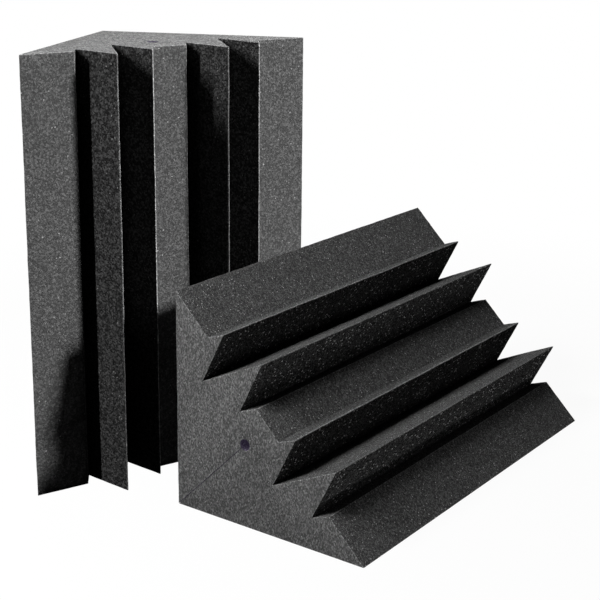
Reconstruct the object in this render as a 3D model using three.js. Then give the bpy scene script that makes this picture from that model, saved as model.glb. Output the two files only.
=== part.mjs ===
// A pair of corner bass traps: sound-absorbing foam prisms that stand in the corners of a room.
// Each trap is one piece of open-cell foam. Two back faces meet at a right angle and go against the
// two walls of the corner. The slanted front carries flats, sharp teeth and deep V grooves.
// A round bore runs through the whole length, and a thin slit joins it to the back corner:
// the cutting wire went in along that slit to cut the bore.
//
// Both traps are the same piece. One stands on end, the other lies on a back face.
// Units are millimetres, +Z is up, and the origin is under the middle of the pair, on the floor.

import * as THREE from "three";

// The block that a trap is cut from
const backFace = 304.8;
const length = 609.6;

// The slanted front: its flats, and how far the teeth stand out of it and the grooves go in
const outerFlat = 76.2;
const middleFlat = 50.8;
const lowTip = 25.4;
const highTip = 50.8;

// How the run between an outer flat and the middle flat is shared out among the five flanks:
// low rise, fall into the deep groove, high rise, fall into the shallow groove, low rise
const flankShares = [0.11, 0.223, 0.334, 0.223, 0.11];

// The bore, how deep its centre lies behind the middle flat, and the slit to the back corner
const boreDiameter = 15;
const boreDepth = 50.8;
const slitWidth = 0.8;

// How the pair is set out: the standing trap's turn, its clearance from the lying trap's back face,
// and how far it reaches past the lying trap's near end
const standingTurn = THREE.MathUtils.degToRad(-66.1);
const standingClearance = 15;
const standingLead = 100.3;

const boreSegments = 48;

// Directions in the cross-section: the back faces lie along +X and +Y from the back corner,
// the front runs down from the end of the Y face to the end of the X face, and faces outwards
const alongFront = new THREE.Vector2(1, -1).normalize();
const outOfFront = new THREE.Vector2(1, 1).normalize();

const frontWidth = backFace * Math.SQRT2;
const cornerToFront = backFace / Math.SQRT2;

// One half of the front, as [distance along the front, height above it], from its upper edge
// to the middle flat
function halfFront() {
  const heights = [lowTip, -highTip, highTip, -lowTip, 0];
  const toothedRun = frontWidth / 2 - outerFlat - middleFlat / 2;
  const points = [[0, 0], [outerFlat, 0]];
  let along = outerFlat;
  flankShares.forEach((share, flank) => {
    along += share * toothedRun;
    points.push([along, heights[flank]]);
  });
  return points;
}

// The whole front. The second half is the first one turned half round about the middle of the front,
// so that teeth of one trap fill the grooves of the next: two traps nest into one square block.
function wholeFront() {
  const upper = halfFront();
  const lower = upper.map(([along, height]) => [frontWidth - along, -height]).reverse();
  return [...upper, ...lower];
}

// A point of the front in the cross-section's plane
function frontPoint([along, height]) {
  return new THREE.Vector2(0, backFace)
    .addScaledVector(alongFront, along)
    .addScaledVector(outOfFront, height);
}

// The cross-section as one closed outline: back face, front, other back face, then in along one side
// of the slit, round the bore, and out along the other side
function crossSection() {
  const slitMouth = slitWidth / Math.SQRT2;
  const boreRadius = boreDiameter / 2;
  const boreCentre = outOfFront.clone().multiplyScalar(cornerToFront - boreDepth);
  const towardsCorner = outOfFront.clone().negate().angle();
  const slitHalfAngle = Math.asin(slitWidth / boreDiameter);

  const outline = new THREE.Shape();
  outline.moveTo(slitMouth, 0);
  for (const point of wholeFront().reverse().map(frontPoint)) {
    outline.lineTo(point.x, point.y);
  }
  outline.lineTo(0, slitMouth);
  outline.absarc(
    boreCentre.x,
    boreCentre.y,
    boreRadius,
    towardsCorner - slitHalfAngle,
    towardsCorner + slitHalfAngle,
    true,
  );
  outline.closePath();
  return outline;
}

// One trap, standing on end with its back corner on the Z axis
function trapGeometry() {
  return new THREE.ExtrudeGeometry(crossSection(), {
    depth: length,
    steps: 1,
    bevelEnabled: false,
    curveSegments: boreSegments / 2,
  });
}

function foamMaterial() {
  return new THREE.MeshStandardMaterial({
    name: "charcoal_foam",
    color: 0x48484a,
    roughness: 1,
    metalness: 0,
  });
}

// The lying trap rests on one back face, with an end in the plane Y = 0 and the back corner on Y
function lyingTrap() {
  const trap = new THREE.Mesh(trapGeometry(), foamMaterial());
  trap.name = "lying_trap";
  trap.rotation.x = Math.PI / 2;
  trap.position.y = length;
  return trap;
}

// The standing trap is turned about its length, then set beside the lying trap's upright back face
function standingTrap() {
  const trap = new THREE.Mesh(trapGeometry(), foamMaterial());
  trap.name = "standing_trap";
  trap.rotation.z = standingTurn;
  const reach = new THREE.Box3().setFromObject(trap, true);
  trap.position.x = -standingClearance - reach.max.x;
  trap.position.y = -standingLead - reach.min.y;
  return trap;
}

const pair = new THREE.Group();
pair.add(lyingTrap(), standingTrap());

// The origin goes under the middle of the pair
const floorBox = new THREE.Box3().setFromObject(pair, true);
const middle = floorBox.getCenter(new THREE.Vector3());
pair.position.set(-middle.x, -middle.y, -floorBox.min.z);

export default pair;
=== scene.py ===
"""Two corner bass traps of charcoal foam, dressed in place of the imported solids.

Both traps are the same piece of cut foam. It is modelled once, standing on end with its back
corner on the Z axis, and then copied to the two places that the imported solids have.
"""

import logging
import math
from collections.abc import Callable
from dataclasses import dataclass, field
from enum import Enum, IntEnum

import bmesh
import bpy
from mathutils import Euler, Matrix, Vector


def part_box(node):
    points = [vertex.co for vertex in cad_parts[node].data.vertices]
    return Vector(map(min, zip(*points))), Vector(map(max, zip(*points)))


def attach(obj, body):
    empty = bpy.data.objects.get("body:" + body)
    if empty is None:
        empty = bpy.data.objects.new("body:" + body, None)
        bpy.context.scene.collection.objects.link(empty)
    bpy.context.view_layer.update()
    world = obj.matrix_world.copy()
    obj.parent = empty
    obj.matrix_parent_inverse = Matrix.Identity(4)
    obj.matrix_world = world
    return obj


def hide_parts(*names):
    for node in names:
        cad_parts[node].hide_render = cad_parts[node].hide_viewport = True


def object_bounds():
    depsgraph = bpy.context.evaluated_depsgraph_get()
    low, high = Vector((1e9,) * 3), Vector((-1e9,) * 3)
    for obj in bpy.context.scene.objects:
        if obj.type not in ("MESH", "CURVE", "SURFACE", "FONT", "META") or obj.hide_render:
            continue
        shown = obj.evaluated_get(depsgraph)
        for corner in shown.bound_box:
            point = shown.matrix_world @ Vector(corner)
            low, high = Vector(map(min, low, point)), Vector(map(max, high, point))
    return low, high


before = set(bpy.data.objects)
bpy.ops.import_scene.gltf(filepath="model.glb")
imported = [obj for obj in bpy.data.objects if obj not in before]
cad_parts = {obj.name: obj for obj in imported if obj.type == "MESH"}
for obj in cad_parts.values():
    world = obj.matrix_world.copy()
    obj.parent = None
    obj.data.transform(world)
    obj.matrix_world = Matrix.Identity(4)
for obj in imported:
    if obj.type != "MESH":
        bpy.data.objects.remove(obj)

CAD_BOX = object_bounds()

# The width and height of the photograph
PHOTO_PIXELS = 600

# Points nearer than this are the same point of the mesh, in metres
SAME_POINT = 1e-5

# The share of the trap's length that an edge spans if it runs from end to end
NEARLY_WHOLE = 0.9

# The facets that round off a worn tip or edge, and the sides of the bore
ROUND_FACETS = 3
BORE_SIDES = 48

# Edges that turn more than the first angle get worn, and less than the second are shaded smooth
WORN_ANGLE = math.radians(55)
SMOOTH_ANGLE = math.radians(34)

# How closely a face has to follow a direction to count as an end, a worn tip or a falling flank;
# the tips are given a painted highlight and the falling flanks painted shade
END_FACING = 0.99
TIP_FACING = 0.55
FALL_FACING = 0.9

log = logging.getLogger("corner_traps")

Colour = tuple[float, float, float]


class Axis(Enum):
    """The axes that a cut face is allowed to wander along."""

    X = "X"
    Y = "Y"
    Z = "Z"


class Element(Enum):
    """What a selection in a mesh is made of."""

    VERTEX = "VERT"
    EDGE = "EDGE"


class Cut(IntEnum):
    """The kinds of cut surface on a trap, in the order of its material slots."""

    SIDE = 0
    # Flanks that face down the front, darker by painted shade
    FALL = 1
    # Rounded edges, paler by a painted highlight
    RIM = 2
    # Worn tips, paler by a painted highlight
    TIP = 3
    END = 4
    # The bore and the slit, darker by painted shade and with a faint painted glow
    BORE = 5


class Wire:
    """A shader output that reads as a number in arithmetic."""

    def __init__(self, recipe: "Recipe", socket: bpy.types.NodeSocket) -> None:
        """Wrap a socket.

        Args:
            recipe: The material that the socket belongs to.
            socket: The output socket.
        """
        self.recipe = recipe
        self.socket = socket

    def _maths(self, operation: str, *values: "Wire | float", clamp: bool = False) -> "Wire":
        """Add one Math node.

        Args:
            operation: The node's operation.
            values: Its inputs, in order.
            clamp: Whether the result is kept between 0 and 1.

        Returns:
            The node's result.
        """
        settings = {"operation": operation, "use_clamp": clamp}
        return self.recipe.add("ShaderNodeMath", settings, dict(enumerate(values)))

    def __add__(self, other: "Wire | float") -> "Wire":
        """Add a number or another wire."""
        return self._maths("ADD", self, other)

    def __radd__(self, other: float) -> "Wire":
        """Add this wire to a number."""
        return self._maths("ADD", other, self)

    def __sub__(self, other: "Wire | float") -> "Wire":
        """Take away a number or another wire."""
        return self._maths("SUBTRACT", self, other)

    def __rsub__(self, other: float) -> "Wire":
        """Take this wire away from a number."""
        return self._maths("SUBTRACT", other, self)

    def __mul__(self, other: "Wire | float") -> "Wire":
        """Multiply by a number or another wire."""
        return self._maths("MULTIPLY", self, other)

    def __rmul__(self, other: float) -> "Wire":
        """Multiply a number by this wire."""
        return self._maths("MULTIPLY", other, self)

    def clamped(self) -> "Wire":
        """Keep the value between 0 and 1."""
        return self._maths("ADD", self, 0.0, clamp=True)

    def ramp(self, low: float, high: float) -> "Wire":
        """Turn the span from low to high into a smooth step from 0 to 1.

        Args:
            low: The value that becomes 0.
            high: The value that becomes 1.

        Returns:
            The stepped value.
        """
        settings = {"interpolation_type": "SMOOTHSTEP"}
        inputs = {"Value": self, "From Min": low, "From Max": high}
        return self.recipe.add("ShaderNodeMapRange", settings, inputs)


class Recipe:
    """The node tree of a material or of the world, built one node at a time."""

    def __init__(self, owner: bpy.types.Material | bpy.types.World) -> None:
        """Empty the owner's node tree.

        Args:
            owner: What the nodes are for.
        """
        owner.use_nodes = True
        self.owner = owner
        self.tree = owner.node_tree
        self.tree.nodes.clear()

    def node(
        self,
        kind: str,
        settings: dict[str, object] | None = None,
        inputs: dict[str | int, object] | None = None,
    ) -> bpy.types.Node:
        """Add a node.

        Args:
            kind: The node's type.
            settings: Its properties, which are set first.
            inputs: A value, a wire or a socket for each input, by name or number.

        Returns:
            The new node.
        """
        node = self.tree.nodes.new(kind)
        for key, value in (settings or {}).items():
            setattr(node, key, value)
        for key, value in (inputs or {}).items():
            source = value.socket if isinstance(value, Wire) else value
            if isinstance(source, bpy.types.NodeSocket):
                self.tree.links.new(source, node.inputs[key])
            else:
                node.inputs[key].default_value = source
        return node

    def add(
        self,
        kind: str,
        settings: dict[str, object] | None = None,
        inputs: dict[str | int, object] | None = None,
        output: str | int = 0,
    ) -> Wire:
        """Add a node and take one of its outputs.

        Args:
            kind: The node's type.
            settings: Its properties.
            inputs: A value, a wire or a socket for each input.
            output: The output that is wanted, by name or number.

        Returns:
            That output.
        """
        return Wire(self, self.node(kind, settings, inputs).outputs[output])

    def noise(self, place: Wire, scale: float, detail: float, roughness: float) -> Wire:
        """Add a noise texture.

        Args:
            place: Where it is read.
            scale: Its patches for each unit of place.
            detail: How many finer layers lie over the patches.
            roughness: How strong each layer is next to the one before it.

        Returns:
            The noise, which is a half on average.
        """
        inputs = {"Vector": place, "Scale": scale, "Detail": detail, "Roughness": roughness}
        return self.add("ShaderNodeTexNoise", None, inputs)

    def blend(self, amount: Wire | float, first: Wire | tuple, second: Wire | tuple) -> Wire:
        """Mix two colours.

        Args:
            amount: The share of the second colour.
            first: The first colour, a wire or four numbers.
            second: The second colour.

        Returns:
            The mixed colour.
        """
        # A Mix node takes colours at its inputs 6 and 7 and gives one at its output 2
        settings = {"data_type": "RGBA"}
        return self.add("ShaderNodeMix", settings, {0: amount, 6: first, 7: second}, 2)

    def finish(self, surface: bpy.types.NodeSocket) -> bpy.types.Material | bpy.types.World:
        """Send a shader to the output.

        Args:
            surface: The shader's socket.

        Returns:
            The finished owner.
        """
        world = isinstance(self.owner, bpy.types.World)
        kind = "ShaderNodeOutputWorld" if world else "ShaderNodeOutputMaterial"
        self.node(kind, None, {"Surface": surface})
        return self.owner

    def seen(self) -> Wire:
        """Return 1 for what the camera sees, also in a mirror or through glass."""
        path = self.node("ShaderNodeLightPath")
        rays = ("Is Camera Ray", "Is Glossy Ray", "Is Transmission Ray")
        camera, glossy, glass = (Wire(self, path.outputs[ray]) for ray in rays)
        return (camera + glossy + glass).clamped()


def grey(level: float) -> Colour:
    """Return the grey of a level."""
    return (level, level, level)


def opaque(colour: Colour, level: float = 1.0) -> tuple[float, float, float, float]:
    """Return a colour at a level, with full opacity."""
    red, green, blue = colour
    return (red * level, green * level, blue * level, 1.0)


@dataclass(frozen=True)
class Grain:
    """How the cells of the foam show on one trap.

    Attributes:
        clusters: The width of the clusters of cells along X, Y and Z, in metres.
        flecks: The share of the clusters that show a pale fleck, which is a painted glint.
        fleck_tone: How pale a fleck is.
        fleck_reach: How far a fleck reaches from the middle of its cluster, in cluster widths.
        depth: How much the clusters vary in tone.
    """

    clusters: tuple[float, float, float]
    flecks: float
    fleck_tone: float
    fleck_reach: float
    depth: float


@dataclass(frozen=True)
class FoamFinish:
    """Open-cell foam where a blade has gone through it.

    Its thin cell walls catch the light and its pores swallow it. Here and there a pale fleck is
    painted into its colour: a painted glint where a cell wall catches the light.

    Attributes:
        name: The name of the kind of cut, which ends the material's name.
        tone: The mean colour of the cut surface.
        painted_glow: A faint painted glow that the cut gives off though it is no lamp, in place of
            the light that would reach it through the foam round it.
        tone_range: The palest tone of the cells, as a multiple of the mean one.
        mottle: How much the tone varies from one patch to the next.
        patches: How many patches there are to a metre.
        pores_per_cluster: How many pores there are along the width of a cluster.
        pore_edge: How far from a wall a pore starts and how far it is darkest, in pore widths.
        pore_depth: How much darker a pore is than the walls round it.
        relief: How high the bumps are, in metres.
        pore_relief: How deep a pore is, as a share of the relief.
        fleck_blur: The width of a fleck's soft edge, in cluster widths.
        full_flecks: The share of the flecks that show in full.
        faint_fleck: The strength of the faintest fleck, where the strongest has 1.
        roughness: How rough the foam is.
        fleck_sheen: How much smoother a fleck is.
    """

    name: str
    tone: Colour
    painted_glow: Colour = grey(0.0)
    tone_range: float = 2.0
    mottle: float = 0.12
    patches: float = 24.0
    pores_per_cluster: float = 1.5
    pore_edge: tuple[float, float] = (0.04, 0.30)
    pore_depth: float = 0.35
    relief: float = 0.0012
    pore_relief: float = 0.3
    fleck_blur: float = 0.3
    full_flecks: float = 0.6
    faint_fleck: float = 0.3
    roughness: float = 0.95
    fleck_sheen: float = 0.4

    def material(self, owner: str, grain: Grain) -> bpy.types.Material:
        """Build the foam's material.

        Args:
            owner: The name of the piece that it is for.
            grain: How the foam's cells show on it.

        Returns:
            The material.
        """
        recipe = Recipe(bpy.data.materials.new(f"{owner}_{self.name}"))
        place = recipe.add("ShaderNodeTexCoord", None, None, "Object")
        lattice = recipe.add(
            "ShaderNodeMapping",
            None,
            {"Vector": place, "Scale": tuple(1 / width for width in grain.clusters)},
        )
        clusters = recipe.node(
            "ShaderNodeTexVoronoi", {"feature": "F1"}, {"Vector": lattice, "Scale": 1.0}
        )
        pick = recipe.node("ShaderNodeSeparateColor", None, {"Color": clusters.outputs["Color"]})
        draw, choice, strength = (Wire(recipe, pick.outputs[band]) for band in range(3))
        pore = self.pores(lattice)
        patch = recipe.noise(place, scale=self.patches, detail=3.0, roughness=0.5)
        cells = self.cell_colour(grain, draw, pore, patch)
        # The pale flecks that are mixed into the base colour are painted glints of the cell walls
        fleck = self.flecks(grain, Wire(recipe, clusters.outputs["Distance"]), choice, strength)
        rough = recipe.noise(lattice, scale=1.0, detail=2.0, roughness=0.65)
        height = rough - pore * self.pore_relief
        bump = recipe.add(
            "ShaderNodeBump", None, {"Strength": 1.0, "Distance": self.relief, "Height": height}
        )
        foam = recipe.node(
            "ShaderNodeBsdfPrincipled",
            None,
            {
                "Base Color": recipe.blend(fleck, cells, opaque(grey(grain.fleck_tone))),
                "Roughness": self.roughness - fleck * self.fleck_sheen,
                "Specular IOR Level": 0.0,
                "Normal": bump,
                # A faint painted glow, which only the bore's finish has
                "Emission Color": opaque(self.painted_glow),
                "Emission Strength": 1.0,
            },
        )
        return recipe.finish(foam.outputs[0])

    def pores(self, lattice: Wire) -> Wire:
        """Find the pores between the cell walls.

        Args:
            lattice: The place on the foam, counted in clusters.

        Returns:
            How deep in a pore each place is, from 0 at a wall to 1.
        """
        wall_gap = lattice.recipe.add(
            "ShaderNodeTexVoronoi",
            {"feature": "DISTANCE_TO_EDGE"},
            {"Vector": lattice, "Scale": self.pores_per_cluster},
            "Distance",
        )
        return wall_gap.ramp(*self.pore_edge)

    def cell_colour(self, grain: Grain, draw: Wire, pore: Wire, patch: Wire) -> Wire:
        """Work out the colour of the cells.

        Args:
            grain: How the cells show.
            draw: A number from 0 to 1 that each cluster has drawn.
            pore: How deep in a pore each place is.
            patch: The pattern of the patches, which is a half on average.

        Returns:
            The colour.
        """
        # The square of an even draw is a third on average, so the mean tone stays the same
        tone = 1 + (3 * draw * draw - 1) * grain.depth
        tone = tone * (1 - pore * self.pore_depth) * (1 + (patch - 0.5) * self.mottle)
        share = (tone * (1 / self.tone_range)).clamped()
        # The pores take about half of their depth off the mean tone, which is made up for here
        palest = opaque(self.tone, self.tone_range / (1 - 0.5 * self.pore_depth))
        return tone.recipe.blend(share, opaque(self.tone, 0.0), palest)

    def flecks(self, grain: Grain, from_middle: Wire, choice: Wire, strength: Wire) -> Wire:
        """Find the pale flecks, which are painted glints.

        Args:
            grain: How the cells show.
            from_middle: How far each place is from the middle of its cluster.
            choice: A number from 0 to 1 by which a cluster has a fleck or none.
            strength: Another one, by which its fleck is strong or faint.

        Returns:
            How strong a fleck is at each place.
        """
        near_middle = 1 - from_middle.ramp(grain.fleck_reach - self.fleck_blur, grain.fleck_reach)
        chosen = choice.ramp(1 - grain.flecks, 1 - self.full_flecks * grain.flecks)
        return near_middle * chosen * (self.faint_fleck + (1 - self.faint_fleck) * strength)


@dataclass(frozen=True)
class FrontProfile:
    """The slanted front of a trap, drawn along its slope and out of it.

    One half runs from an outer edge to the middle flat. The other half is the same one turned
    half round about the middle of the front, so that the teeth of one trap fill the grooves of
    the next.

    Attributes:
        width: The front from one outer edge to the other.
        outer_flat: The width of the flat beside each outer edge.
        middle_flat: The width of the flat between the two sets of teeth.
        low_tip: How far the low teeth stand out.
        high_tip: How far the high tooth stands out, and the deep groove goes in.
        flank_shares: How the run between two flats is shared out among the five flanks.
    """

    width: float
    outer_flat: float = 0.0762
    middle_flat: float = 0.0508
    low_tip: float = 0.0254
    high_tip: float = 0.0508
    flank_shares: tuple[float, ...] = (0.11, 0.223, 0.334, 0.223, 0.11)

    def half(self) -> list[tuple[float, float]]:
        """Return the corners from the outer edge to the middle flat."""
        heights = (self.low_tip, -self.high_tip, self.high_tip, -self.low_tip, 0.0)
        run = self.width / 2 - self.outer_flat - self.middle_flat / 2
        corners = [(0.0, 0.0), (self.outer_flat, 0.0)]
        along = self.outer_flat
        for share, height in zip(self.flank_shares, heights):
            along += share * run
            corners.append((along, height))
        return corners

    def corners(self) -> list[tuple[float, float]]:
        """Return every corner of the front, from one outer edge to the other."""
        first = self.half()
        second = [(self.width - along, -height) for along, height in reversed(first)]
        return first + second


class Bench:
    """The edit-mode tools that shape a mesh."""

    @staticmethod
    def clear_selection() -> None:
        """Deselect every object."""
        bpy.ops.object.select_all(action="DESELECT")

    @staticmethod
    def hold(piece: bpy.types.Object) -> None:
        """Select one object alone and make it active.

        Args:
            piece: The object.
        """
        Bench.clear_selection()
        piece.select_set(True)
        bpy.context.view_layer.objects.active = piece

    @staticmethod
    def pick(piece: bpy.types.Object, kind: Element, wanted: Callable[..., bool]) -> None:
        """Select the vertices or edges that pass a test, in edit mode.

        Args:
            piece: The object in edit mode.
            kind: Whether vertices or edges are selected.
            wanted: The test, on one of them.
        """
        bpy.ops.mesh.select_mode(type=kind.value)
        bpy.ops.mesh.select_all(action="DESELECT")
        mesh = bmesh.from_edit_mesh(piece.data)
        for element in mesh.verts if kind is Element.VERTEX else mesh.edges:
            if wanted(element):
                element.select_set(True)
        mesh.select_flush_mode()
        bmesh.update_edit_mesh(piece.data, loop_triangles=False, destructive=False)

    @staticmethod
    def apply_modifier(piece: bpy.types.Object, kind: str, **settings: object) -> None:
        """Add a modifier and apply it.

        Args:
            piece: The object.
            kind: The modifier's type.
            settings: Its properties.
        """
        Bench.hold(piece)
        modifier = piece.modifiers.new(kind.title(), kind)
        for key, value in settings.items():
            setattr(modifier, key, value)
        bpy.ops.object.modifier_apply(modifier=modifier.name)


@dataclass
class FoamBlank:
    """One trap as it comes from the blade, standing on end with its back corner on the Z axis.

    Attributes:
        back_face: The width of each face that goes against a wall.
        length: The height of the trap on end.
        bore: The diameter of the round bore.
        bore_depth: How far the bore's centre lies behind the middle flat.
        slit: The width of the slit between the bore and the back corner.
        worn_tip_and_highlight: How far from a tip its two flanks start to round over.
        worn_rim_and_highlight: How far the other cut edges are rounded over.
        step: The longest edge of the finished mesh.
    """

    back_face: float
    length: float
    bore: float = 0.015
    bore_depth: float = 0.0508
    # The rounded tips take a paler finish, a painted highlight
    slit: float = 0.0008
    # The rounded rims take a paler finish, a painted highlight
    worn_tip_and_highlight: float = 0.003
    worn_rim_and_highlight: float = 0.0006
    step: float = 0.004
    profile: FrontProfile = field(init=False)

    def __post_init__(self) -> None:
        """Draw the front to the width that the two back faces leave it."""
        self.profile = FrontProfile(self.back_face * math.sqrt(2))

    @property
    def along(self) -> Vector:
        """The direction along the front, from its upper outer edge to its lower one."""
        return Vector((1, -1, 0)).normalized()

    @property
    def outwards(self) -> Vector:
        """The direction out of the front."""
        return Vector((1, 1, 0)).normalized()

    @property
    def bore_axis(self) -> Vector:
        """The point of the end face that the bore's axis goes through."""
        return self.outwards * (self.back_face / math.sqrt(2) - self.bore_depth)

    @property
    def tip_level(self) -> float:
        """How far out of the front a point has to stand to belong to a tip."""
        return self.profile.low_tip / 2

    def height(self, point: Vector) -> float:
        """Return how far a point stands out of the front.

        Args:
            point: The point, on the trap at the origin.

        Returns:
            The distance, which is negative inside the trap.
        """
        return point.dot(self.outwards) - self.back_face / math.sqrt(2)

    def front_points(self) -> list[Vector]:
        """Return the front's corners in the plane of the end face."""
        start = Vector((0, self.back_face, 0))
        return [start + self.along * s + self.outwards * t for s, t in self.profile.corners()]

    def build(self) -> bpy.types.Object:
        """Model the trap from a square of foam.

        Returns:
            The finished blank.
        """
        blank = self.cut_end_face()
        self.draw_teeth(blank)
        self.grow(blank)
        self.cut_bore(blank)
        self.wear_edges(blank)
        self.divide_length(blank)
        return blank

    def cut_end_face(self) -> bpy.types.Object:
        """Slice a square end of the foam block in half along its diagonal.

        Returns:
            The triangular end face.
        """
        Bench.clear_selection()
        middle = self.back_face / 2
        bpy.ops.mesh.primitive_plane_add(size=self.back_face, location=(middle, middle, 0))
        blank = bpy.context.object
        blank.name = "foam_blank"
        bpy.ops.object.transform_apply(location=True, rotation=True, scale=True)
        bpy.ops.object.mode_set(mode="EDIT")
        bpy.ops.mesh.select_all(action="SELECT")
        corner = (self.back_face, 0, 0)
        bpy.ops.mesh.bisect(plane_co=corner, plane_no=self.outwards, clear_outer=True)
        return blank

    def draw_teeth(self, blank: bpy.types.Object) -> None:
        """Divide the slanted edge and move its points out to the teeth and in to the grooves.

        Args:
            blank: The triangular end face, in edit mode.
        """
        targets = self.front_points()[1:-1]

        def on_front(vertex: bmesh.types.BMVert) -> bool:
            """Tell whether a vertex lies on the slanted front."""
            return abs(self.height(vertex.co)) < SAME_POINT

        Bench.pick(blank, Element.EDGE, lambda edge: all(on_front(v) for v in edge.verts))
        bpy.ops.mesh.subdivide(number_cuts=len(targets))
        row = [v.co.copy() for v in bmesh.from_edit_mesh(blank.data).verts if on_front(v)]
        row.sort(key=lambda point: point.dot(self.along))
        for place, target in zip(row[1:-1], targets):
            Bench.pick(blank, Element.VERTEX, lambda v: (v.co - place).length < SAME_POINT)
            bpy.ops.transform.translate(value=target - place)
        Bench.pick(blank, Element.VERTEX, lambda v: self.height(v.co) > self.tip_level)
        bpy.ops.mesh.bevel(offset=self.worn_tip_and_highlight, segments=ROUND_FACETS, affect="VERTICES")
        self.divide_outline(blank)

    def divide_outline(self, blank: bpy.types.Object) -> None:
        """Divide each long side of the end face into pieces no longer than the mesh step.

        Args:
            blank: The toothed end face, in edit mode.
        """
        mesh = bmesh.from_edit_mesh(blank.data)
        sides = [[v.co.copy() for v in e.verts] for e in mesh.edges if e.calc_length() > self.step]
        for start, end in sides:

            def at_end(vertex: bmesh.types.BMVert) -> bool:
                """Tell whether a vertex is one of the side's two ends."""
                return min((vertex.co - start).length, (vertex.co - end).length) < SAME_POINT

            Bench.pick(blank, Element.EDGE, lambda edge: all(at_end(v) for v in edge.verts))
            cuts = math.ceil((end - start).length / self.step) - 1
            bpy.ops.mesh.subdivide(number_cuts=cuts)

    def grow(self, blank: bpy.types.Object) -> None:
        """Draw the end face out to the trap's full length.

        Args:
            blank: The toothed end face, in edit mode; not used.
        """
        bpy.ops.mesh.select_all(action="SELECT")
        bpy.ops.mesh.extrude_region_move(TRANSFORM_OT_translate={"value": (0, 0, self.length)})
        bpy.ops.mesh.select_all(action="SELECT")
        bpy.ops.mesh.normals_make_consistent(inside=False)
        bpy.ops.object.mode_set(mode="OBJECT")

    def wear_edges(self, blank: bpy.types.Object) -> None:
        """Round the corners of the flats and the rims of both ends, but not the slit.

        Args:
            blank: The sharp trap.
        """
        for _ in Cut:
            blank.data.materials.append(None)
        Bench.hold(blank)
        bpy.ops.object.mode_set(mode="EDIT")

        def wears(edge: bmesh.types.BMEdge) -> bool:
            """Tell whether an edge stands out sharply and isn't one of the slit's."""
            in_slit = all(abs(v.co.dot(self.along)) < self.slit for v in edge.verts)
            return not in_slit and edge.calc_face_angle_signed(0.0) > WORN_ANGLE

        Bench.pick(blank, Element.EDGE, wears)
        # The rounded faces take the rim's paler finish, a painted highlight along the edges
        bpy.ops.mesh.bevel(
            offset=self.worn_rim_and_highlight, segments=ROUND_FACETS, affect="EDGES", material=Cut.RIM.value
        )
        bpy.ops.object.mode_set(mode="OBJECT")

    def add_blade(self, width: float, height: float, level: float) -> bpy.types.Object:
        """Add the solid that a cut from the back corner to the bore takes away.

        Args:
            width: The width of the cut.
            height: Its height along the trap's length.
            level: The height of its middle.

        Returns:
            The blade.
        """
        reach = self.bore_axis.length + self.bore
        place = self.outwards * (self.bore_axis.length - reach / 2) + Vector((0, 0, level))
        Bench.clear_selection()
        bpy.ops.mesh.primitive_cube_add(size=1, location=place, rotation=(0, 0, math.pi / 4))
        blade = bpy.context.object
        blade.scale = (reach, width, height)
        bpy.ops.object.transform_apply(location=True, rotation=True, scale=True)
        return blade

    def add_drill(self, height: float, level: float) -> bpy.types.Object:
        """Add the round solid that the bore takes away.

        Args:
            height: Its height along the trap's length.
            level: The height of its middle.

        Returns:
            The drill.
        """
        place = self.bore_axis + Vector((0, 0, level))
        Bench.clear_selection()
        bpy.ops.mesh.primitive_cylinder_add(
            vertices=BORE_SIDES, radius=self.bore / 2, depth=height, location=place
        )
        drill = bpy.context.object
        bpy.ops.object.transform_apply(location=True, rotation=True, scale=True)
        return drill

    def cut_bore(self, blank: bpy.types.Object) -> None:
        """Cut the slit in from the back corner, and the bore at its end.

        Args:
            blank: The sharp trap.
        """
        through = self.length + 2 * self.bore
        tools = [
            self.add_blade(self.slit, through, self.length / 2),
            self.add_drill(through, self.length / 2),
        ]
        for tool in tools:
            Bench.apply_modifier(
                blank, "BOOLEAN", operation="DIFFERENCE", solver="EXACT", object=tool
            )
            bpy.data.objects.remove(tool, do_unlink=True)

    def divide_length(self, blank: bpy.types.Object) -> None:
        """Divide the trap across its length, so that its long faces can wander.

        Args:
            blank: The worn trap.
        """
        Bench.hold(blank)
        bpy.ops.object.mode_set(mode="EDIT")

        def runs_lengthways(edge: bmesh.types.BMEdge) -> bool:
            """Tell whether an edge runs from one end of the trap to the other."""
            span = edge.verts[1].co - edge.verts[0].co
            return abs(span.z) > NEARLY_WHOLE * self.length

        cuts = math.ceil(self.length / self.step) - 1
        Bench.pick(blank, Element.EDGE, runs_lengthways)
        bpy.ops.mesh.subdivide(number_cuts=cuts)
        bpy.ops.object.mode_set(mode="OBJECT")


@dataclass(frozen=True)
class Stance:
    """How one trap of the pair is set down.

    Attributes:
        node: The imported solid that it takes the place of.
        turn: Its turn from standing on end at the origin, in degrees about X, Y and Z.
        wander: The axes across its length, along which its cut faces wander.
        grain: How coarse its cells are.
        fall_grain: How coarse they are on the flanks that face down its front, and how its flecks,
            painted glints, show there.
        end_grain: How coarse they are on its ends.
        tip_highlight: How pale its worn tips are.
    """

    node: str
    turn: tuple[float, float, float]
    wander: tuple[Axis, Axis]
    grain: Grain
    fall_grain: Grain
    end_grain: Grain
    # The worn tips' paleness is a painted highlight, brighter on the standing trap
    tip_highlight: float


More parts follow.
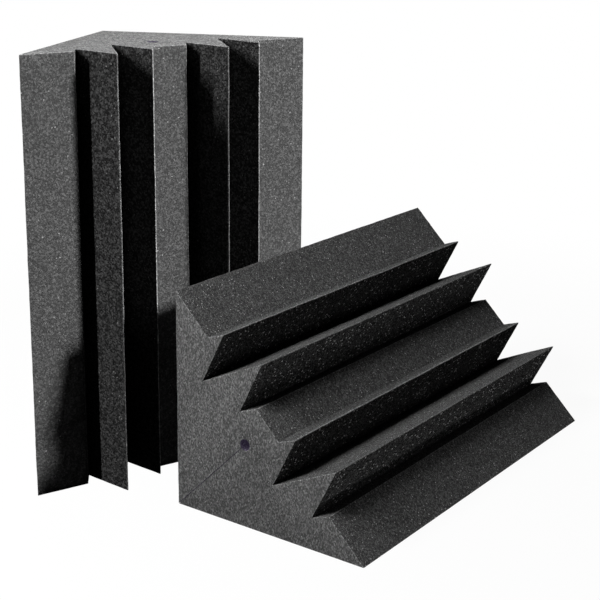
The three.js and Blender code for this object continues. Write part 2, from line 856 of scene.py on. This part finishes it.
@dataclass
class FoamTrap:
    """One trap of the pair, in its place and finished.

    Attributes:
        name: The piece's name.
        stance: Where it lies.
        blank: The trap that it is copied from.
        strays: The patterns by which a cut face strays, each as its width and how far it goes.
        cross_stretch: How much wider a pattern is along the second of the axes.
    """

    name: str
    stance: Stance
    blank: FoamBlank
    strays: tuple[tuple[float, float], ...] = ((0.055, 0.0009), (0.009, 0.0007))
    cross_stretch: float = 1.13
    piece: bpy.types.Object = field(init=False)

    def make(self, model: bpy.types.Object) -> None:
        """Copy the model to this trap's place and finish it.

        Args:
            model: The finished blank.
        """
        self.piece = model.copy()
        self.piece.data = model.data.copy()
        self.piece.name = self.name
        self.piece.data.name = self.name
        bpy.context.scene.collection.objects.link(self.piece)
        self.dress()
        self.set_down()
        self.roughen()
        Bench.hold(self.piece)
        bpy.ops.object.shade_smooth_by_angle(angle=SMOOTH_ANGLE)
        self.declare()

    def dress(self) -> None:
        """Give each face its kind of cut's finish, while the trap stands at the origin."""
        mesh = self.piece.data
        # The worn tips take the stance's paler tone, a painted highlight
        finishes = {**FINISHES, Cut.TIP: FoamFinish("worn_tip_and_highlight", grey(self.stance.tip_highlight))}
        grains = {Cut.FALL: self.stance.fall_grain, Cut.END: self.stance.end_grain}
        for cut, finish in finishes.items():
            grain = grains.get(cut, self.stance.grain)
            mesh.materials[cut.value] = finish.material(self.name, grain)
        for face in mesh.polygons:
            face.material_index = self.kind_of_cut(face).value

    def kind_of_cut(self, face: bpy.types.MeshPolygon) -> Cut:
        """Tell what kind of cut a face is, while the trap stands at the origin.

        Args:
            face: The face, which already has its kind if it belongs to a worn rim.

        Returns:
            The kind of cut.
        """
        blank = self.blank
        axis = blank.bore_axis
        centre = Vector((face.center.x, face.center.y, 0))
        in_slit = (
            abs(centre.dot(blank.along)) < blank.slit
            and centre.dot(blank.outwards) < axis.length
        )
        stands_out = blank.height(centre) > blank.tip_level
        if abs(face.normal.z) > END_FACING:
            return Cut.END
        # The bore and the slit take the bore's dark tone, painted shade in these narrow hollows
        if in_slit or (centre - axis).length < blank.bore / 2 + blank.worn_rim_and_highlight:
            return Cut.BORE
        # Faces of the tips that look out of the front take the tips' painted highlight
        if stands_out and face.normal.dot(blank.outwards) > TIP_FACING:
            return Cut.TIP
        # Flanks that face down the front take a darker tone, which is painted shade
        if face.material_index == Cut.SIDE and face.normal.dot(blank.along) > FALL_FACING:
            return Cut.FALL
        return Cut(face.material_index)

    def set_down(self) -> None:
        """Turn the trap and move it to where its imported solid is."""
        Bench.hold(self.piece)
        self.piece.rotation_euler = Euler([math.radians(angle) for angle in self.stance.turn])
        bpy.ops.object.transform_apply(location=True, rotation=True, scale=True)
        places = [vertex.co for vertex in self.piece.data.vertices]
        lowest = Vector([min(place[axis] for place in places) for axis in range(3)])
        self.piece.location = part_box(self.stance.node)[0] - lowest
        bpy.ops.object.transform_apply(location=True, rotation=True, scale=True)

    def roughen(self) -> None:
        """Let the cut faces stray a little, as a blade leaves them in soft foam."""
        group = "free_of_floor"
        # Faces that may wander along Z have to stay flat where they lie on the floor
        lowest = self.blank.worn_rim_and_highlight if Axis.Z in self.stance.wander else -math.inf
        free = [v.index for v in self.piece.data.vertices if v.co.z > lowest]
        self.piece.vertex_groups.new(name=group).add(free, 1.0, "REPLACE")
        for width, reach in self.strays:
            for axis, stretch in zip(self.stance.wander, (1.0, self.cross_stretch)):
                pattern = bpy.data.textures.new("cut_wander", "CLOUDS")
                pattern.noise_scale = width * stretch
                Bench.apply_modifier(
                    self.piece,
                    "DISPLACE",
                    texture=pattern,
                    texture_coords="LOCAL",
                    direction=axis.value,
                    vertex_group=group,
                    mid_level=0.5,
                    strength=reach,
                )
                bpy.data.textures.remove(pattern)
        self.piece.vertex_groups.clear()

    def declare(self) -> None:
        """Hide the imported solid that this piece stands for and attach the piece to the root
        body.
        """
        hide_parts(self.stance.node)
        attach(self.piece, "root")
        log.info("%s: %d faces", self.name, len(self.piece.data.polygons))


@dataclass(frozen=True)
class Softbox:
    """A lamp with a flat rectangular face that faces the pair.

    Attributes:
        name: The lamp's name.
        towards: The direction from the pair to the lamp.
        distance: How far off it is, in metres.
        size: The width and height of its face.
        level: How brightly it lights a surface that faces it, where 1 shows a colour as written.
        lights: The pieces that it lights, or none for everything.
        shaded_by: The pieces that cast its shadow, or none for everything.
    """

    name: str
    towards: tuple[float, float, float]
    distance: float
    size: tuple[float, float]
    level: float
    lights: tuple[str, ...] = ()
    shaded_by: tuple[str, ...] = ()

    def hang(self, aim: Vector) -> None:
        """Put the lamp in its place.

        Args:
            aim: The point that it faces.
        """
        light = bpy.data.lights.new(self.name, "AREA")
        light.shape = "RECTANGLE"
        light.size, light.size_y = self.size
        light.energy = self.level * (math.pi * self.distance) ** 2
        lamp = bpy.data.objects.new(self.name, light)
        direction = Vector(self.towards).normalized()
        lamp.location = aim + direction * self.distance
        lamp.rotation_euler = direction.to_track_quat("Z", "Y").to_euler()
        lamp.visible_camera = False
        bpy.context.scene.collection.objects.link(lamp)
        if self.lights:
            lamp.light_linking.receiver_collection = self.group(self.lights)
        if self.shaded_by:
            lamp.light_linking.blocker_collection = self.group(self.shaded_by)

    def group(self, names: tuple[str, ...]) -> bpy.types.Collection:
        """Put pieces in a collection of their own.

        Args:
            names: The pieces' names.

        Returns:
            The collection.
        """
        collection = bpy.data.collections.new(self.name)
        for name in names:
            collection.objects.link(bpy.data.objects[name])
        return collection


@dataclass(frozen=True)
class Studio:
    """The floor, the lamps, the white surround and the camera.

    Attributes:
        lamps: The softboxes.
        aim_height: How high over the middle of the floor they aim.
        surround: How brightly the white surround lights the pair.
        floor_width: The width of the floor.
        floor_paint: How pale the floor is to the camera.
        floor_bounce: How pale it is to the light that it throws back at the pair.
        floor_glow: How much of the camera's floor glows white near the pair.
        glow_fade: The distances from the pair over which all of it comes to glow.
        camera_place: Where the camera stands.
        camera_turn: Its turn, in degrees about X, Y and Z.
        focal_pixels: Its focal length in the photograph's pixels.
        axis_pixel: The column and row of the photograph that it looks straight at.
    """

    lamps: tuple[Softbox, ...]
    aim_height: float = 0.25
    surround: float = 0.012
    floor_width: float = 40.0
    floor_paint: float = 0.85
    floor_bounce: float = 0.02
    floor_glow: float = 0.945
    glow_fade: tuple[float, float] = (0.6, 1.6)
    camera_place: tuple[float, float, float] = (1.13727, -1.55118, 0.82486)
    camera_turn: tuple[float, float, float] = (74.9163, -0.58296, 36.12099)
    focal_pixels: float = 1366.92
    axis_pixel: tuple[float, float] = (300.5, 250.5)

    def build(self) -> None:
        """Set the whole studio up."""
        bpy.context.scene.view_settings.view_transform = "Standard"
        self.place_camera()
        self.lay_floor()
        self.light_surround()
        low, high = CAD_BOX
        aim = Vector(((low[0] + high[0]) / 2, (low[1] + high[1]) / 2, self.aim_height))
        for lamp in self.lamps:
            lamp.hang(aim)
        log.info("studio: %d lamps", len(self.lamps))

    def place_camera(self) -> None:
        """Stand the camera where the photograph was taken from."""
        lens = bpy.data.cameras.new("photo_camera")
        lens.sensor_width = 36.0
        lens.lens = self.focal_pixels * lens.sensor_width / PHOTO_PIXELS
        column, row = self.axis_pixel
        lens.shift_x = (PHOTO_PIXELS / 2 - column) / PHOTO_PIXELS
        lens.shift_y = (row - PHOTO_PIXELS / 2) / PHOTO_PIXELS
        lens.clip_end = 100.0
        camera = bpy.data.objects.new("photo_camera", lens)
        camera.location = self.camera_place
        camera.rotation_euler = Euler([math.radians(angle) for angle in self.camera_turn])
        bpy.context.scene.collection.objects.link(camera)
        bpy.context.scene.camera = camera

    def lay_floor(self) -> None:
        """Lay a pale floor that runs past the picture on every side."""
        Bench.clear_selection()
        bpy.ops.mesh.primitive_plane_add(size=self.floor_width, location=(0, 0, 0))
        floor = bpy.context.object
        floor.name = "floor"
        recipe = Recipe(bpy.data.materials.new("pale_floor"))
        seen = recipe.seen()
        place = recipe.add("ShaderNodeTexCoord", None, None, "Object")
        distance = recipe.add("ShaderNodeVectorMath", {"operation": "LENGTH"}, {0: place}, "Value")
        glow_share = self.floor_glow + (1 - self.floor_glow) * distance.ramp(*self.glow_fade)
        paint = recipe.blend(
            seen, opaque(grey(self.floor_bounce)), opaque(grey(self.floor_paint))
        )
        matt = recipe.node("ShaderNodeBsdfDiffuse", None, {"Color": paint})
        glow = recipe.node("ShaderNodeEmission", None, {"Strength": 1.0})
        mixed = recipe.node(
            "ShaderNodeMixShader",
            None,
            {0: seen * glow_share, 1: matt.outputs[0], 2: glow.outputs[0]},
        )
        floor.data.materials.append(recipe.finish(mixed.outputs[0]))

    def light_surround(self) -> None:
        """Surround the set with white, kept low where it lights the pair."""
        world = bpy.data.worlds.new("white_surround")
        bpy.context.scene.world = world
        recipe = Recipe(world)
        strength = self.surround + (1 - self.surround) * recipe.seen()
        glow = recipe.node(
            "ShaderNodeBackground", None, {"Color": opaque(grey(1.0)), "Strength": strength}
        )
        recipe.finish(glow.outputs[0])


LYING, STANDING = "lying_foam", "standing_foam"

LAMPS = (
    Softbox(
        name="lying_key",
        towards=(-0.276, -0.95, 0.961),
        distance=2.2,
        size=(0.85, 0.4),
        level=1.34,
        lights=(LYING, "floor"),
        shaded_by=(LYING,),
    ),
    Softbox(
        name="lying_top",
        towards=(0.052, -0.4, 0.998),
        distance=2.2,
        size=(0.4, 0.4),
        level=0.65,
        lights=(LYING,),
        shaded_by=(LYING,),
    ),
    Softbox(
        name="lying_fill",
        towards=(0.966, -0.3, 0.259),
        distance=2.2,
        size=(0.4, 0.4),
        level=0.11,
        lights=(LYING,),
        shaded_by=(LYING,),
    ),
    Softbox(
        name="lying_bounce",
        towards=(0.83, -0.22, -0.52),
        distance=1.9,
        size=(0.8, 0.8),
        level=0.22,
        lights=(LYING,),
        shaded_by=(LYING,),
    ),
    Softbox(
        name="lying_front",
        towards=(0.1, -0.96, -0.25),
        distance=1.1,
        size=(0.5, 0.5),
        level=0.11,
        lights=(LYING,),
        shaded_by=(LYING,),
    ),
    Softbox(
        name="standing_key",
        towards=(0.8102, 0.2369, 0.5363),
        distance=4.3,
        size=(0.4, 0.6),
        level=2.6,
        lights=(STANDING,),
    ),
    Softbox(
        name="standing_front",
        towards=(-0.302, -0.782, 0.545),
        distance=3.0,
        size=(0.12, 0.9),
        level=0.85,
        lights=(STANDING,),
    ),
    Softbox(
        name="standing_top",
        towards=(0.0, 0.0, 1.0),
        distance=3.0,
        size=(0.3, 0.3),
        level=0.97,
        lights=(STANDING,),
        shaded_by=(STANDING,),
    ),
    Softbox(
        name="back_fill",
        towards=(-0.7, 0.7, 0.25),
        distance=3.2,
        size=(1.6, 1.6),
        level=0.45,
    ),
)

# The finish of each kind of cut, apart from the worn tips, whose tone, a painted highlight, is the
# stance's
FINISHES = {
    Cut.SIDE: FoamFinish("side_cut", grey(0.062)),
    # The falling flanks' darker tone is painted shade
    Cut.FALL: FoamFinish("fall_painted_shade", grey(0.04)),
    # The worn rim's paler tone is a painted highlight on the rounded edges
    Cut.RIM: FoamFinish("worn_rim_and_highlight", grey(0.15)),
    Cut.END: FoamFinish("end_cut", grey(0.1)),
    # The bore's dark tone is painted shade, and its faint glow is painted light
    Cut.BORE: FoamFinish("bore", (0.03, 0.026, 0.038), painted_glow=(0.018, 0.014, 0.026)),
}

# The clusters of cells on the lying trap's cuts, on its falling flanks and on the standing trap
FLAT_CELLS = (0.0012, 0.0012, 0.0024)
MIDDLING_CELLS = (0.0018, 0.0018, 0.0018)
COARSE_CELLS = (0.0022, 0.0022, 0.0022)

STANCES = {
    LYING: Stance(
        node="lying_trap",
        turn=(90.0, 0.0, 0.0),
        wander=(Axis.X, Axis.Z),
        grain=Grain(FLAT_CELLS, flecks=0.03, fleck_tone=0.65, fleck_reach=0.65, depth=0.55),
        fall_grain=Grain(
            MIDDLING_CELLS, flecks=0.035, fleck_tone=0.95, fleck_reach=0.85, depth=0.7
        ),
        end_grain=Grain(FLAT_CELLS, flecks=0.004, fleck_tone=0.5, fleck_reach=0.55, depth=0.45),
        tip_highlight=0.14,
    ),
    STANDING: Stance(
        node="standing_trap",
        turn=(0.0, 0.0, -66.1),
        wander=(Axis.X, Axis.Y),
        grain=Grain(COARSE_CELLS, flecks=0.01, fleck_tone=0.35, fleck_reach=0.6, depth=0.34),
        fall_grain=Grain(COARSE_CELLS, flecks=0.01, fleck_tone=0.35, fleck_reach=0.6, depth=0.65),
        end_grain=Grain(COARSE_CELLS, flecks=0.002, fleck_tone=0.35, fleck_reach=0.6, depth=0.4),
        tip_highlight=0.27,
    ),
}


def main() -> None:
    """Build the pair and the studio round it."""
    low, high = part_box("lying_trap")
    size = high - low
    blank = FoamBlank(back_face=size.x, length=size.y)
    model = blank.build()
    for name, stance in STANCES.items():
        FoamTrap(name, stance, blank).make(model)
    bpy.data.objects.remove(model, do_unlink=True)
    Studio(LAMPS).build()


if __name__ == "__main__":
    logging.basicConfig(level=logging.INFO)
    main()
